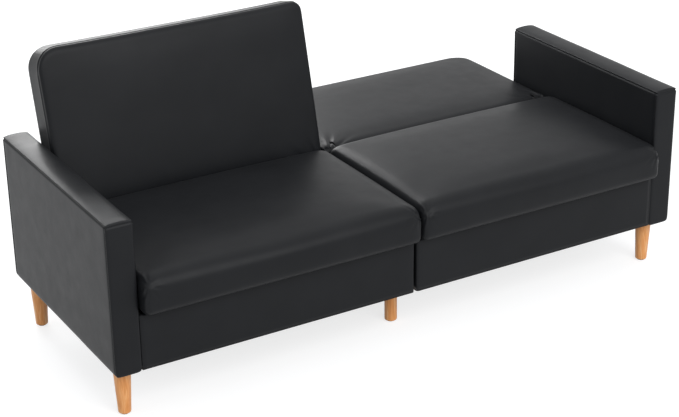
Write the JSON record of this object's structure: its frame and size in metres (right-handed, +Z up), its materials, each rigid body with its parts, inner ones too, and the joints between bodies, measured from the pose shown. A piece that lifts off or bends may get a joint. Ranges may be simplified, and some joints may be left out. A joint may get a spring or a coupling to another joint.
{
  "type": "futon sofa bed",
  "caption": "Faux-leather futon sofa bed with box arms, wooden legs and a split backrest whose halves fold flat by themselves on click-clack hinges.",
  "frame": {"origin": "on the floor, under the middle of the sofa's width and of its depth with a backrest flat", "axes": "+X to the sitter's view right along the width, +Z up; the sofa faces -Y"},
  "size_m": [1.85, 1.0515, 0.8444],
  "materials": {
    "faux_leather": "satin",
    "foam": "matte",
    "frame_timber": "matte",
    "leg_wood": "satin",
    "elastic_webbing": "matte",
    "dust_cloth": "matte",
    "glide_plastic": "matte",
    "clip_plastic": "matte",
    "spring_steel": "satin",
    "hinge_steel": "satin",
    "bolt_steel": "satin"
  },
  "bodies": {
    "sofa_base": {"arm_bolts": "bolt_steel", "centre_bolts": "bolt_steel", "centre_leg_plates": "bolt_steel", "centre_spacers": "bolt_steel", "dust_covers": "dust_cloth", "front_centre_leg": "leg_wood", "front_left_leg": "leg_wood", "front_right_leg": "leg_wood", "left_arm_cover": "faux_leather", "left_arm_frame": "frame_timber", "left_base_cover": "faux_leather", "left_base_frame": "frame_timber", "left_inner_hinge_pin": "hinge_steel", "left_inner_hinge_seat_arm": "hinge_steel", "left_outer_hinge_pin": "hinge_steel", "left_outer_hinge_seat_arm": "hinge_steel", "left_seat_cover": "faux_leather", "left_seat_foam": "foam", "left_seat_frame": "frame_timber", "left_seat_springs": "spring_steel", "leg_bolts": "bolt_steel", "leg_glides": "glide_plastic", "rear_centre_leg": "leg_wood", "rear_left_leg": "leg_wood", "rear_right_leg": "leg_wood", "right_arm_cover": "faux_leather", "right_arm_frame": "frame_timber", "right_base_cover": "faux_leather", "right_base_frame": "frame_timber", "right_inner_hinge_pin": "hinge_steel", "right_inner_hinge_seat_arm": "hinge_steel", "right_outer_hinge_pin": "hinge_steel", "right_outer_hinge_seat_arm": "hinge_steel", "right_seat_cover": "faux_leather", "right_seat_foam": "foam", "right_seat_frame": "frame_timber", "right_seat_springs": "spring_steel", "seat_bolts": "bolt_steel", "seat_hinge_screws": "bolt_steel", "seat_spring_clips": "clip_plastic"},
    "left_backrest": {"left_back_cover": "faux_leather", "left_back_foam": "foam", "left_back_frame": "frame_timber", "left_back_hinge_screws": "bolt_steel", "left_back_webbing": "elastic_webbing", "left_inner_hinge_back_arm": "hinge_steel", "left_inner_hinge_pawl": "hinge_steel", "left_outer_hinge_back_arm": "hinge_steel", "left_outer_hinge_pawl": "hinge_steel"},
    "right_backrest": {"right_back_cover": "faux_leather", "right_back_foam": "foam", "right_back_frame": "frame_timber", "right_back_hinge_screws": "bolt_steel", "right_back_webbing": "elastic_webbing", "right_inner_hinge_back_arm": "hinge_steel", "right_inner_hinge_pawl": "hinge_steel", "right_outer_hinge_back_arm": "hinge_steel", "right_outer_hinge_pawl": "hinge_steel"}
  },
  "joints": [
    {"name": "left_back_fold", "type": "hinge", "parent": "sofa_base", "child": "left_backrest", "pos_m": [-0.421, 0.051, 0.383], "axis": [1, 0, 0], "range_deg": [-76, 12]},
    {"name": "right_back_fold", "type": "hinge", "parent": "sofa_base", "child": "right_backrest", "pos_m": [0.421, 0.051, 0.383], "axis": [1, 0, 0], "range_deg": [0, 88]}
  ]
}
